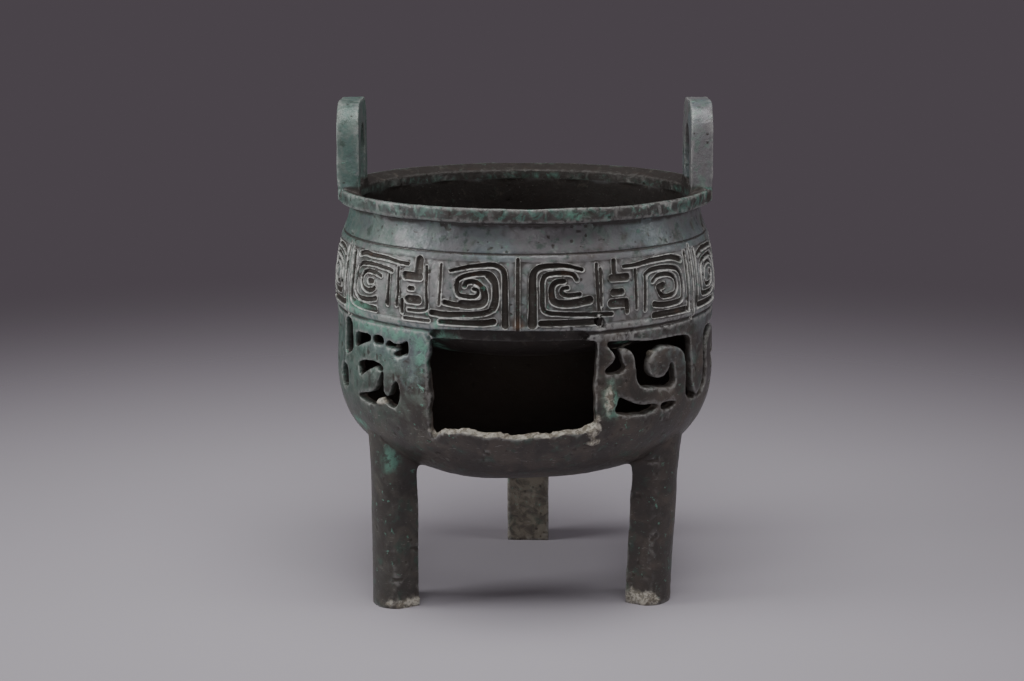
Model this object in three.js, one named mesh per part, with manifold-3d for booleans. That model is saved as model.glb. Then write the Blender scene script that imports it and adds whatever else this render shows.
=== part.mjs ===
// A bronze ding with a fire chamber: a round cauldron on three legs, cast in one piece.
// The bowl has a round bottom of its own, and hangs inside a deeper belly. The room under it
// holds the coals: a window at the front feeds it, and scrolls pierced through the wall let
// the draught in. Millimetres, +Z up, the feet on z = 0, the window facing -Y.
// Places on the wall are (angle, height): degrees round the axis from the front, positive
// towards +X, and millimetres above the ground.
import * as THREE from 'three';
import { mergeVertices } from 'three/addons/utils/BufferGeometryUtils.js';
import Module from 'manifold-3d';

const wasm = await Module();
wasm.setup();

// ---------------------------------------------------------------- driving dimensions
const RIM_RADIUS = 91;
const RIM_TOP = 201;
const LIP_HEIGHT = 8;
const LIP_INNER_RADIUS = 80.5;
const LIP_DROP = 3.6;            // the lip's top slopes down towards the mouth
const NECK_RADIUS = 85.2;
const NECK_WALL = 4;

const BELLY_RADIUS = 92.4;       // the belly below the frieze
const BELLY_LINE = 117;          // height where it starts to round under
const BELLY_DEPTH = 54.5;        // from that line to the bottom of the belly
const BELLY_FALL_POWER = 2.7;    // how late the side starts to fall away
const BELLY_SPREAD_POWER = 3;    // how flat the underside is: 2 is an ellipse, more is flatter
const WALL = 4.6;

const BOWL_SPRING = 150;         // height where the bowl's own bottom leaves the wall
const BOWL_SAG = 24.5;
const BOWL_WALL = 5;

const FRIEZE_RADIUS = 93.2;
const FRIEZE_BOTTOM = 144.8;
const FRIEZE_TOP = 179.3;
const PANEL_ANGLE = 60;
const FIRST_SEAM = -2;           // a seam of the six frieze panels, just left of the front
const GROOVE_DEPTH = 1.5;

const WINDOW_LEFT = -28.5;
const WINDOW_RIGHT = 20.5;
const WINDOW_SILL = 97;
const WINDOW_TOP = 139.3;
const SILL_FALL = 4;             // how far the broken sill drops from inside to outside
const LINTEL_SETBACK = 2;

const LEG_WIDTH = 22.5;
const LEG_THICKNESS = 18.5;
const LEG_TOP = 96;              // the end buried in the belly's wall

const HANDLE_SPAN = 52;
const HANDLE_THICKNESS = 11;
const HANDLE_OUTER_FACE = 89.3;
const HANDLE_TOP = 241.6;
const HANDLE_CORNER = 15;
const HANDLE_LIMB = 12;
const HANDLE_ROOT = 195;

const ROUND_STEPS = 40;          // facets round the outside
const CAVITY_STEPS = 28;         // facets round the hollows

// ---------------------------------------------------------------- solids
function solidOf(geometry) {
  geometry.deleteAttribute('normal');
  geometry.deleteAttribute('uv');
  const merged = mergeVertices(geometry, 1e-4);
  const vertProperties = new Float32Array(merged.attributes.position.array);
  const triVerts = new Uint32Array(merged.index.array);
  return new wasm.Manifold(new wasm.Mesh({ numProp: 3, vertProperties, triVerts }));
}

function geometryOf(solid) {
  const mesh = solid.getMesh();
  const geometry = new THREE.BufferGeometry();
  geometry.setAttribute('position', new THREE.BufferAttribute(mesh.vertProperties, 3));
  geometry.setIndex(new THREE.BufferAttribute(mesh.triVerts, 1));
  geometry.computeVertexNormals();
  return geometry;
}

// A solid of revolution round +Z from (radius, height) pairs that start and end on the axis,
// going up the outside.
function turned(profile, steps) {
  const points = profile.map(([radius, height]) => new THREE.Vector2(radius, height));
  return solidOf(new THREE.LatheGeometry(points, steps).rotateX(Math.PI / 2));
}

// ---------------------------------------------------------------- the wall's line
// Down the outside, from under the lip to the belly's widest line: radius, height.
const WALL_LINE = [
  [NECK_RADIUS, RIM_TOP - LIP_HEIGHT], [86, 186], [88.6, FRIEZE_TOP], [91, 170],
  [FRIEZE_RADIUS, 156], [FRIEZE_RADIUS, FRIEZE_BOTTOM], [92.3, 143.8],
  [91.9, 133], [BELLY_RADIUS, BELLY_LINE],
];

// The quarter of a full round under the belly line, down to the axis.
function roundUnder(radius, top, depth, powers, steps) {
  const [fallPower, spreadPower] = powers;
  return Array.from({ length: steps }, (_, i) => {
    const turn = ((i + 1) / steps) * (Math.PI / 2);
    const across = i + 1 === steps ? 0 : Math.cos(turn) ** (2 / spreadPower);
    return [radius * across, top - depth * Math.sin(turn) ** (2 / fallPower)];
  });
}

const BELLY_POWERS = [BELLY_FALL_POWER, BELLY_SPREAD_POWER];
const ELLIPSE_POWERS = [2, 2];

function wallRadius(height) {
  if (height < BELLY_LINE) {
    const fall = (BELLY_LINE - height) / BELLY_DEPTH;
    return BELLY_RADIUS * (1 - fall ** BELLY_FALL_POWER) ** (1 / BELLY_SPREAD_POWER);
  }
  const lower = Math.max(1, WALL_LINE.findIndex(([, level]) => level <= height));
  const [outerRadius, outerHeight] = WALL_LINE[lower - 1];
  const [innerRadius, innerHeight] = WALL_LINE[lower];
  const share = (height - innerHeight) / (outerHeight - innerHeight);
  return THREE.MathUtils.lerp(innerRadius, outerRadius, share);
}

function onWall(angle, radius, height) {
  const turn = THREE.MathUtils.degToRad(angle);
  return new THREE.Vector3(radius * Math.sin(turn), -radius * Math.cos(turn), height);
}

// ---------------------------------------------------------------- shell
function outerBody() {
  const lip = [
    [0, RIM_TOP - LIP_DROP], [LIP_INNER_RADIUS, RIM_TOP - LIP_DROP],
    [RIM_RADIUS, RIM_TOP], [RIM_RADIUS, RIM_TOP - LIP_HEIGHT],
  ];
  const belly = roundUnder(BELLY_RADIUS, BELLY_LINE, BELLY_DEPTH, BELLY_POWERS, 8);
  return turned([...lip, ...WALL_LINE, ...belly].reverse(), ROUND_STEPS);
}

function bowlHollow() {
  const clear = RIM_TOP - LIP_DROP + 2;
  const mouth = [
    [0, clear], [LIP_INNER_RADIUS, clear], [NECK_RADIUS - NECK_WALL, 191],
    [85.4, 175], [FRIEZE_RADIUS - WALL, 156], [FRIEZE_RADIUS - WALL, BOWL_SPRING],
  ];
  const bottom = roundUnder(FRIEZE_RADIUS - WALL, BOWL_SPRING, BOWL_SAG, ELLIPSE_POWERS, 5);
  return turned([...mouth, ...bottom].reverse(), CAVITY_STEPS);
}

function fireChamber() {
  const radius = BELLY_RADIUS - WALL;
  const roofEdge = BOWL_SPRING - BOWL_WALL;
  const roof = roundUnder(radius, roofEdge, BOWL_SAG, ELLIPSE_POWERS, 5).reverse();
  const floor = roundUnder(radius, BELLY_LINE, BELLY_DEPTH - WALL, BELLY_POWERS, 6);
  return turned([...roof, [radius, roofEdge], [radius, BELLY_LINE], ...floor].reverse(), CAVITY_STEPS);
}

// ---------------------------------------------------------------- cuts in the wall
// A strip cut along a line of (angle, height, width) stations, between two depths measured
// from the wall's outer face. Its ends are square to the line.
function strip(stations, inner, outer) {
  const arc = THREE.MathUtils.degToRad(1) * BELLY_RADIUS;
  const along = stations.length - 1;
  const geometry = new THREE.BoxGeometry(1, 1, 1, along, 1, 1);
  const place = geometry.attributes.position;
  for (let i = 0; i < place.count; i += 1) {
    const station = Math.round((place.getX(i) + 0.5) * along);
    const [angle, height, width] = stations[station];
    const before = stations[Math.max(station - 1, 0)];
    const after = stations[Math.min(station + 1, along)];
    const heading = new THREE.Vector2((after[0] - before[0]) * arc, after[1] - before[1]).normalize();
    const aside = place.getY(i) * width;
    const level = height + heading.x * aside;
    const depth = place.getZ(i) > 0 ? outer : inner;
    const spot = onWall(angle - (heading.y * aside) / arc, wallRadius(level) + depth, level);
    place.setXYZ(i, spot.x, spot.y, spot.z);
  }
  return solidOf(geometry);
}

// Stations spread evenly along a smooth line through a few (angle, height, width) points.
function smooth(points, steps) {
  const curve = new THREE.CatmullRomCurve3(points.map((point) => new THREE.Vector3(...point)));
  return curve.getPoints(steps).map((point) => [point.x, point.y, point.z]);
}

// ---------------------------------------------------------------- frieze
// A squared hook: in along the bottom, round the closed side and back along the top. It closes
// towards `side` (-1 left, 1 right), covers the turn `sweep` (90 up and 90 down is a full hook),
// and `tails` are how many degrees its two ends run straight on.
function hook({ centre, level, reach, rise, side, sweep, tails, widths }) {
  const square = (value) => Math.sign(value) * Math.abs(value) ** 0.5;
  const steps = Math.round((sweep[1] - sweep[0]) / 45);
  const line = Array.from({ length: steps + 1 }, (_, i) => {
    const turn = THREE.MathUtils.degToRad(THREE.MathUtils.lerp(sweep[0], sweep[1], i / steps));
    return [centre + side * reach * square(Math.cos(turn)), level + rise * square(Math.sin(turn))];
  });
  if (tails[0] > 0) {
    line.unshift([line[0][0] - side * tails[0], line[0][1]]);
  }
  if (tails[1] > 0) {
    line.push([line.at(-1)[0] - side * tails[1], line.at(-1)[1]]);
  }
  return line.map(([angle, height], i) => [
    angle, height, THREE.MathUtils.lerp(widths[0], widths[1], i / (line.length - 1)),
  ]);
}

// One panel, measured in degrees from its left seam: a big squared scroll on the left, upright
// plumes and an eye in the middle, and a smaller scroll on the right.
const PANEL_HOOKS = [
  { centre: 14, level: 161.2, reach: 10.2, rise: 12.6, side: -1, sweep: [-60, 90], tails: [0, 5], widths: [3.4, 1.1] },
  { centre: 14.5, level: 162, reach: 7.8, rise: 8.9, side: -1, sweep: [-90, 90], tails: [13, 2], widths: [1.3, 1.3] },
  { centre: 14.5, level: 162.4, reach: 4.7, rise: 5.1, side: -1, sweep: [-90, 90], tails: [4, 0], widths: [2.6, 1.2] },
  { centre: 48, level: 161.2, reach: 7, rise: 8.6, side: 1, sweep: [-90, 90], tails: [6, 9], widths: [2.8, 1.2] },
  { centre: 48, level: 161.6, reach: 3.6, rise: 4.9, side: 1, sweep: [-90, 90], tails: [3, 7], widths: [1.4, 1.2] },
];
const PANEL_LINES = [
  { from: [22.3, 174], to: [22.3, 154], width: 1.1 },
  { from: [35.2, 170], to: [35.2, 154], width: 0.8 },
  { from: [27, 162], to: [31, 162], width: 1.1 },
  { from: [27.2, 173.8], to: [27.2, 167.5], width: 1.8 },
  { from: [30.8, 156.5], to: [30.8, 150.2], width: 1.8 },
  { from: [33, 173.4], to: [54, 173.4], width: 1.6 },
  { from: [57.1, 174.2], to: [57.1, 148.5], width: 1.3 },
  { from: [7, 148.8], to: [24, 148.8], width: 1.9 },
  { from: [42, 148.6], to: [55, 148.6], width: 1.9 },
];

function straight({ from, to, width }) {
  const steps = Math.max(1, Math.round(Math.abs(to[0] - from[0]) / 7));
  return Array.from({ length: steps + 1 }, (_, i) => [
    THREE.MathUtils.lerp(from[0], to[0], i / steps), THREE.MathUtils.lerp(from[1], to[1], i / steps), width,
  ]);
}

// The panels are alike, and every second one is turned over, so that neighbours mirror each
// other across the narrow seam between them. The two at the front are the fullest.
function friezeCuts() {
  const cuts = [];
  for (let panel = 0; panel < 360 / PANEL_ANGLE; panel += 1) {
    const seam = FIRST_SEAM + panel * PANEL_ANGLE;
    const place = panel % 2 === 0 ? (angle) => seam + angle : (angle) => seam + PANEL_ANGLE - angle;
    const full = panel === 0 || panel === 5;
    const lines = [...PANEL_HOOKS.map(hook), ...(full ? PANEL_LINES.map(straight) : [])];
    for (const line of lines) {
      const stations = line.map(([angle, height, width]) => [place(angle), height, width]);
      cuts.push(strip(stations, -GROOVE_DEPTH, 1.5));
    }
    cuts.push(strip([[seam, FRIEZE_BOTTOM, 0.9], [seam, 176, 0.9]], -0.7, 1.5));
  }
  return cuts;
}

// ---------------------------------------------------------------- window and openwork
// The stoking window: a gap whose sill and jambs are broken and uneven. The sill falls away
// outwards, and the wall above the gap is set back behind the frieze's border.
function windowCut() {
  const across = 12;
  const up = 6;
  const geometry = new THREE.BoxGeometry(1, 1, 1, across, up, 1);
  const place = geometry.attributes.position;
  for (let i = 0; i < place.count; i += 1) {
    const x = place.getX(i) + 0.5;
    const y = place.getY(i) + 0.5;
    const outside = place.getZ(i) > 0;
    const corner = Math.max(0, 1 - x / 0.08);
    const sill = WINDOW_SILL + 0.8 * Math.sin(9 * x) - 4 * corner - (outside ? SILL_FALL : 0);
    const left = WINDOW_LEFT - 0.5 * Math.sin(11 * y);
    const right = WINDOW_RIGHT + 0.4 * Math.sin(8 * y + 1);
    const height = THREE.MathUtils.lerp(sill, WINDOW_TOP, y);
    const radius = wallRadius(height) + (outside ? 3 : -WALL - 2);
    const spot = onWall(THREE.MathUtils.lerp(left, right, x), radius, height);
    place.setXYZ(i, spot.x, spot.y, spot.z);
  }
  return solidOf(geometry);
}

function lintelCut() {
  const height = FRIEZE_BOTTOM - WINDOW_TOP;
  const level = (FRIEZE_BOTTOM + WINDOW_TOP) / 2 - 0.5;
  const line = { from: [WINDOW_LEFT + 4, level], to: [WINDOW_RIGHT - 4, level], width: height };
  return strip(straight(line), -LINTEL_SETBACK, 3);
}

// The gaps of the pierced scrolls: lines of (angle, height, width). The two halves beside the
// window differ, as cast.
const RIGHT_GAPS = [
  { line: [[24.8, 137.2, 2.2], [30, 136.6, 3], [36, 135.9, 2.8], [42, 135.2, 2.2], [50, 134.4, 2.8], [56, 133.6, 4.2]], steps: 5 },
  { line: [[25.6, 137, 2.4], [27.6, 133, 2], [28, 129, 3.2], [25.4, 124.8, 2.8], [23.9, 124.9, 1.6]], steps: 4 },
  {
    line: [[34.4, 136, 5], [35.2, 130, 4.4], [36, 123, 6.4], [37.6, 118, 5.2], [42, 116.2, 4],
      [46.6, 116, 5.2], [48.6, 119.5, 3.2], [48.2, 124, 1.2]],
    steps: 9,
  },
  { line: [[56.4, 133.8, 3], [56.9, 125, 5], [57.2, 116, 5.2], [58.4, 109, 4.6], [62, 104.6, 1.6]], steps: 4 },
  { line: [[27.6, 108.6, 6.4], [32, 106.7, 5.2], [36.5, 105.2, 3.8], [41.4, 105, 2]], steps: 3 },
  { line: [[43.8, 104.6, 2.2], [50.2, 104.4, 2.2]], steps: 1 },
];
const LEFT_GAPS = [
  { line: [[-60.4, 132.2, 6], [-56.5, 133.4, 4.6], [-52, 134.9, 3]], steps: 2 },
  { line: [[-50.1, 135.2, 3.3], [-45.8, 135.2, 3.3]], steps: 1 },
  { line: [[-44.4, 134, 1.2], [-40.5, 133.5, 1.2], [-37.4, 134.2, 3.4]], steps: 3 },
  { line: [[-37.2, 136.4, 2.6], [-37.3, 132, 3.2], [-41, 130.2, 1]], steps: 3 },
  {
    line: [[-57.8, 119, 3], [-54, 122, 3.2], [-49.5, 122.8, 2.2], [-46.6, 120.4, 2.4],
      [-47, 114.5, 4.6], [-49.4, 108.4, 5.6], [-54, 106.2, 2.6], [-58, 106, 1.6]],
    steps: 9,
  },
  { line: [[-47.5, 109, 2.4], [-43.6, 107.4, 2.6], [-41, 108.6, 4], [-40.6, 112.5, 4], [-40.3, 116.8, 1.2]], steps: 5 },
  { line: [[-64.8, 140.4, 3], [-65.2, 133, 7.4], [-65, 124.4, 6]], steps: 3 },
  { line: [[-69.4, 117.3, 6], [-69.4, 109.4, 7]], steps: 1 },
];
const BORDER_BAR = 63.2;         // the plain upright between two fields of openwork

function throughCut({ line, steps }, place) {
  const stations = smooth(line, steps).map(([angle, height, width]) => [place(angle), height, width]);
  return strip(stations, -WALL - 2, 4);
}

// The field beside the right half mirrors it across the plain upright. Round the back, two
// more fields keep the same gaps with fewer facets, and the wall between them is whole.
function openworkCuts() {
  const backField = BORDER_BAR + 54;
  const coarse = RIGHT_GAPS.slice(0, 5).map(({ line, steps }) => ({ line, steps: Math.ceil(steps * 0.6) }));
  const fields = [
    [RIGHT_GAPS, (angle) => angle],
    [LEFT_GAPS, (angle) => angle],
    [coarse, (angle) => 2 * BORDER_BAR - angle],
    [coarse, (angle) => backField + angle],
    [coarse, (angle) => -backField - angle],
  ];
  return fields.flatMap(([gaps, place]) => gaps.map((gap) => throughCut(gap, place)));
}

// ---------------------------------------------------------------- legs
// Each leg is round outside and flat towards the axis: angle and distance of its centre at the
// foot and at the belly.
const LEGS = [
  { foot: [-58.7, 75.6], top: [-58.7, 75.6] },
  { foot: [61, 70.6], top: [60, 75.5] },
  { foot: [178.5, 70], top: [178.5, 70.5] },
];

function leg({ foot, top }) {
  const half = LEG_WIDTH / 2;
  const flat = -LEG_THICKNESS / 2;
  const section = new THREE.Shape();
  section.moveTo(-half + 1.5, flat);
  section.lineTo(half - 1.5, flat);
  section.lineTo(half, flat + 1.5);
  section.absellipse(0, 0, half, LEG_THICKNESS / 2, 0, Math.PI, false, 0);
  section.lineTo(-half, flat + 1.5);
  const rows = 3;
  const geometry = new THREE.ExtrudeGeometry(section, {
    depth: LEG_TOP, steps: rows, curveSegments: 9, bevelEnabled: false,
  });
  const place = geometry.attributes.position;
  for (let i = 0; i < place.count; i += 1) {
    const share = place.getZ(i) / LEG_TOP;
    const turn = THREE.MathUtils.degToRad(THREE.MathUtils.lerp(foot[0], top[0], share));
    const distance = THREE.MathUtils.lerp(foot[1], top[1], share) + place.getY(i);
    const x = distance * Math.sin(turn) + place.getX(i) * -Math.cos(turn);
    const y = -distance * Math.cos(turn) + place.getX(i) * -Math.sin(turn);
    place.setXYZ(i, x, y, place.getZ(i));
  }
  return solidOf(geometry);
}

// ---------------------------------------------------------------- handles
// An upright arch on the lip, in the plane of Y and Z, flush with the rim's edge.
function handle(side) {
  const half = HANDLE_SPAN / 2;
  const shoulder = HANDLE_TOP - HANDLE_CORNER;
  const arch = new THREE.Shape();
  arch.moveTo(-half, HANDLE_ROOT);
  arch.lineTo(half, HANDLE_ROOT);
  arch.lineTo(half, shoulder);
  arch.absarc(half - HANDLE_CORNER, shoulder, HANDLE_CORNER, 0, Math.PI / 2, false);
  arch.absarc(HANDLE_CORNER - half, shoulder, HANDLE_CORNER, Math.PI / 2, Math.PI, false);
  const reach = half - HANDLE_LIMB;
  const loop = new THREE.Path();
  loop.moveTo(-reach, HANDLE_ROOT - 4);
  loop.lineTo(-reach, HANDLE_TOP - HANDLE_LIMB - reach);
  loop.absarc(0, HANDLE_TOP - HANDLE_LIMB - reach, reach, Math.PI, 0, true);
  loop.lineTo(reach, HANDLE_ROOT - 4);
  const bevel = 1.5;
  const arched = (shape, depth, bevelSize) => new THREE.ExtrudeGeometry(shape, {
    depth, curveSegments: 5, bevelEnabled: bevelSize > 0, bevelSegments: 1,
    bevelSize, bevelThickness: bevelSize, bevelOffset: -bevelSize,
  }).applyMatrix4(new THREE.Matrix4().set(0, 0, 1, 0, 1, 0, 0, 0, 0, 1, 0, 0, 0, 0, 0, 1));
  const start = side > 0 ? HANDLE_OUTER_FACE - HANDLE_THICKNESS : -HANDLE_OUTER_FACE;
  const body = arched(arch, HANDLE_THICKNESS - 2 * bevel, bevel).translate(start + bevel, 0, 0);
  const opening = arched(new THREE.Shape(loop.getPoints(5)), HANDLE_THICKNESS + 4, 0);
  opening.translate(start - 2, 0, 0);
  return solidOf(body).subtract(solidOf(opening));
}

// ---------------------------------------------------------------- the casting
const joined = [...LEGS.map(leg), handle(-1), handle(1)]
  .reduce((body, piece) => body.add(piece), outerBody());
const hollows = [
  bowlHollow(), fireChamber(), windowCut(), lintelCut(), ...openworkCuts(), ...friezeCuts(),
];
const casting = hollows.reduce((body, cut) => body.subtract(cut), joined);

const patinatedBronze = new THREE.MeshStandardMaterial({
  color: 0x5a625a, roughness: 0.62, metalness: 0.35, name: 'patinated_bronze',
});
const vessel = new THREE.Mesh(geometryOf(casting), patinatedBronze);
vessel.name = 'ding_vessel';

const ding = new THREE.Group();
ding.add(vessel);

export default ding;
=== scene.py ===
import math

import bmesh
import bpy
import numpy as np
from mathutils import Matrix, Vector


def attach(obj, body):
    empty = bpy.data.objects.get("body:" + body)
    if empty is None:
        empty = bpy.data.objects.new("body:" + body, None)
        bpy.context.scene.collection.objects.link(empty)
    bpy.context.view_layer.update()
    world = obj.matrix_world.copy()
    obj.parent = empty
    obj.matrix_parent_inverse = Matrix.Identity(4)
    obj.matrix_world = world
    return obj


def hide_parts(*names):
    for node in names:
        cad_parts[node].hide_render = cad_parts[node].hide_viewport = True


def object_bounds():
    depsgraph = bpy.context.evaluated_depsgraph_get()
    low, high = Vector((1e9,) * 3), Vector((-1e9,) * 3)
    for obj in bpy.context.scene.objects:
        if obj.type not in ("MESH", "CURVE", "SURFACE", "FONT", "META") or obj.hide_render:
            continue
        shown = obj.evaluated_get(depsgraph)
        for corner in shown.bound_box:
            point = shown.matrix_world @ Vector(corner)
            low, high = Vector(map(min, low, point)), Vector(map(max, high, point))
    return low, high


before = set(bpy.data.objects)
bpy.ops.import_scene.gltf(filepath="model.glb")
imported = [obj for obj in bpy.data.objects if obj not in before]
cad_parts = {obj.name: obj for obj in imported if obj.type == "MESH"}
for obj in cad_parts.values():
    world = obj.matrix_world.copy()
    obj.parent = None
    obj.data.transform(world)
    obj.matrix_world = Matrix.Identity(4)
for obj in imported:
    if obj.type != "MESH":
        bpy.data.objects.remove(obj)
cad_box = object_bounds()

# ---------------------------------------------------------------------------- lip, neck and wall
# The ding is one pour of leaded bronze. Its lip, neck, frieze wall and round belly are a figure
# of revolution, about 4.5 mm thick, and everything else is cut into it or joined to it.
# Lengths in this file are millimetres, and the finished mesh is brought to metres at the end.
RIM_RADIUS = 91.0
RIM_TOP = 201.0
LIP_HEIGHT = 8.0
LIP_INNER_RADIUS = 80.5
LIP_DROP = 3.6
LIP_ROUNDING = 0.9
LIP_UNDER_ROUNDING = 1.0
LIP_CROWN = 0.3
SPIN_STEPS = 144
HOLLOW_SPIN_STEPS = 120
NECK_RADIUS = 85.2
NECK_WALL = 4.0
BELLY_RADIUS = 92.4
BELLY_LINE = 117.0
BELLY_DEPTH = 54.5
FALL_POWER = 2.7
SPREAD_POWER = 3.0
WALL = 4.6
BOWL_SPRING = 150.0
BOWL_SAG = 24.5
BOWL_WALL = 5.0
FRIEZE_RADIUS = 93.2
FRIEZE_BOTTOM = 144.8
FRIEZE_TOP = 179.3


def smooth_line(points, steps):
    """A smooth run of steps through points of any dimension, as a Catmull-Rom curve."""
    points = np.array(points, dtype=float)
    padded = np.vstack([2 * points[0] - points[1], points, 2 * points[-1] - points[-2]])
    share = np.linspace(0, len(points) - 1, steps + 1)
    leg = np.minimum(share.astype(int), len(points) - 2)
    t = (share - leg)[:, None]
    a, b, c, d = (padded[leg + i] for i in range(4))
    return 0.5 * (2 * b + (c - a) * t + (2 * a - 5 * b + 4 * c - d) * t**2
                  + (3 * b - a - 3 * c + d) * t**3)


NECK_LINE = [
    (NECK_RADIUS, RIM_TOP - LIP_HEIGHT), (NECK_RADIUS + 0.1, 189.5), (86.2, 185.2),
    (88.6, FRIEZE_TOP), (90.4, 173.5), (91.6, 167), (92.8, 158), (FRIEZE_RADIUS - 0.1, 151),
    (FRIEZE_RADIUS - 0.2, FRIEZE_BOTTOM),
]
WALL_LINE = [tuple(point) for point in smooth_line(NECK_LINE, 48)] + [
    (92.3, 143.9), (92.1, 140), (91.9, 133.0), (92.1, 125), (BELLY_RADIUS, BELLY_LINE),
]


def under_line(radius, top, depth, fall_power, spread_power, steps):
    """Radius and height down a full round, from the belly line to the axis."""
    line = []
    for i in range(1, steps + 1):
        turn = i / steps * math.pi / 2
        across = 0.0 if i == steps else math.cos(turn) ** (2 / spread_power)
        line.append((radius * across, top - depth * math.sin(turn) ** (2 / fall_power)))
    return line


def wall_radius(height):
    """The outer radius of the wall at an array of heights."""
    fall = np.clip((BELLY_LINE - height) / BELLY_DEPTH, 0, 0.999)
    under = BELLY_RADIUS * (1 - fall ** FALL_POWER) ** (1 / SPREAD_POWER)
    levels = [level for _, level in reversed(WALL_LINE)]
    radii = [radius for radius, _ in reversed(WALL_LINE)]
    return np.where(height < BELLY_LINE, under, np.interp(height, levels, radii))


def solid(bm, name):
    """Closes a bmesh into an object with its faces outwards."""
    bmesh.ops.remove_doubles(bm, verts=bm.verts, dist=1e-3)
    bmesh.ops.recalc_face_normals(bm, faces=bm.faces)
    mesh = bpy.data.meshes.new(name)
    bm.to_mesh(mesh)
    bm.free()
    piece = bpy.data.objects.new(name, mesh)
    bpy.context.scene.collection.objects.link(piece)
    return piece


def spun(name, line, steps):
    """A solid of revolution from (radius, height) pairs that start and end on the axis."""
    bm = bmesh.new()
    verts = [bm.verts.new((radius, 0, height)) for radius, height in line]
    edges = [bm.edges.new(pair) for pair in zip(verts, verts[1:])]
    bmesh.ops.spin(
        bm, geom=verts + edges, cent=(0, 0, 0), axis=(0, 0, 1), angle=math.tau, steps=steps,
        use_merge=True, use_duplicate=False,
    )
    return solid(bm, name)


lip_line = [
    (0, RIM_TOP - LIP_DROP), (LIP_INNER_RADIUS, RIM_TOP - LIP_DROP),
    (RIM_RADIUS - LIP_ROUNDING, RIM_TOP - LIP_CROWN), (RIM_RADIUS, RIM_TOP - LIP_ROUNDING),
    (RIM_RADIUS, RIM_TOP - LIP_HEIGHT + LIP_ROUNDING),
    (RIM_RADIUS - LIP_UNDER_ROUNDING, RIM_TOP - LIP_HEIGHT),
]
belly_line = under_line(BELLY_RADIUS, BELLY_LINE, BELLY_DEPTH, FALL_POWER, SPREAD_POWER, 24)
casting = spun("bronze_casting", lip_line + WALL_LINE + belly_line, SPIN_STEPS)

mouth_line = [
    (0, RIM_TOP), (LIP_INNER_RADIUS + 0.3, RIM_TOP), (LIP_INNER_RADIUS, RIM_TOP - LIP_DROP - 0.4),
    (NECK_RADIUS - NECK_WALL, 191), (85.4, 175), (FRIEZE_RADIUS - WALL, 156),
    (FRIEZE_RADIUS - WALL, BOWL_SPRING),
]
bowl_line = under_line(FRIEZE_RADIUS - WALL, BOWL_SPRING, BOWL_SAG, 2, 2, 14)
bowl_hollow = spun("bowl_hollow", mouth_line + bowl_line, HOLLOW_SPIN_STEPS)

# ---------------------------------------------------------------------------- fire chamber
# The room for the coals: the belly's inside, roofed by the round bottom of the bowl above it.
chamber_radius = BELLY_RADIUS - WALL
roof_line = under_line(chamber_radius, BOWL_SPRING - BOWL_WALL, BOWL_SAG, 2, 2, 14)[::-1]
floor_line = under_line(
    chamber_radius, BELLY_LINE, BELLY_DEPTH - WALL, FALL_POWER, SPREAD_POWER, 16)
chamber_line = roof_line + [(chamber_radius, BOWL_SPRING - BOWL_WALL)] + floor_line
fire_chamber = spun("fire_chamber", chamber_line, HOLLOW_SPIN_STEPS)

# ---------------------------------------------------------------------------- stoking window
# A nearly square gap at the front, off centre. Its sill is broken and falls outwards, and the
# strip of wall over it is set back behind the frieze's border.
WINDOW_LEFT = -28.5
WINDOW_RIGHT = 20.5
WINDOW_SILL = 98.0
WINDOW_TOP = 139.3
SILL_FALL = 3.0
REACH_OUTSIDE = 3
REACH_INSIDE = -WALL - 2
LINTEL_SETBACK = 3.0


def on_wall(angle, radius, height):
    """Degrees round the axis from the front, towards +X, at a radius and a height."""
    turn = math.radians(angle)
    return radius * math.sin(turn), -radius * math.cos(turn), height


def bent_slab(name, columns, rows, place):
    """A slab of columns by rows, each corner put where place(across, up, outside) says."""
    bm = bmesh.new()
    bmesh.ops.create_grid(bm, x_segments=columns, y_segments=rows, size=1)
    skin = bmesh.ops.extrude_face_region(bm, geom=bm.faces[:])["geom"]
    outside = {item for item in skin if isinstance(item, bmesh.types.BMVert)}
    for vert in bm.verts:
        across = (vert.co.x + 1) / 2
        up = (vert.co.y + 1) / 2
        vert.co = place(across, up, vert in outside)
    return solid(bm, name)


def window_corner(across, up, outside):
    """A corner of the window's cutter: broken sill, notch at its left, uneven jambs."""
    sill = WINDOW_SILL + 0.8 * math.sin(9 * across) + 0.5 * math.sin(31 * across + 1)
    sill -= 4.5 * max(0.0, 1 - across / 0.07) + (SILL_FALL if outside else 0)
    sill += 2.0 * max(0.0, (across - 0.86) / 0.14)
    left = WINDOW_LEFT - 0.5 * math.sin(11 * up) - 0.25 * math.sin(27 * up)
    right = WINDOW_RIGHT + 0.3 * math.sin(8 * up + 1) + 0.15 * math.sin(23 * up)
    height = sill + (WINDOW_TOP - sill) * up
    radius = float(wall_radius(np.array(height))) + (REACH_OUTSIDE if outside else REACH_INSIDE)
    return on_wall(left + (right - left) * across, radius, height)


window = bent_slab("window", 60, 30, window_corner)


def wall_strip(name, stations, inner, outer):
    """A strip along (angle, height, width) stations, between two depths from the wall's face."""
    arc = math.radians(1) * BELLY_RADIUS
    last = len(stations) - 1

    def corner(along, aside, outside):
        i = round(along * last)
        angle, height, width = stations[i]
        before = stations[max(i - 1, 0)]
        after = stations[min(i + 1, last)]
        heading = Vector(((after[0] - before[0]) * arc, after[1] - before[1])).normalized()
        shift = (aside - 0.5) * width
        level = height + heading.x * shift
        radius = float(wall_radius(np.array(level))) + (outer if outside else inner)
        return on_wall(angle - heading.y * shift / arc, radius, level)

    return bent_slab(name, last, 1, corner)


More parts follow.
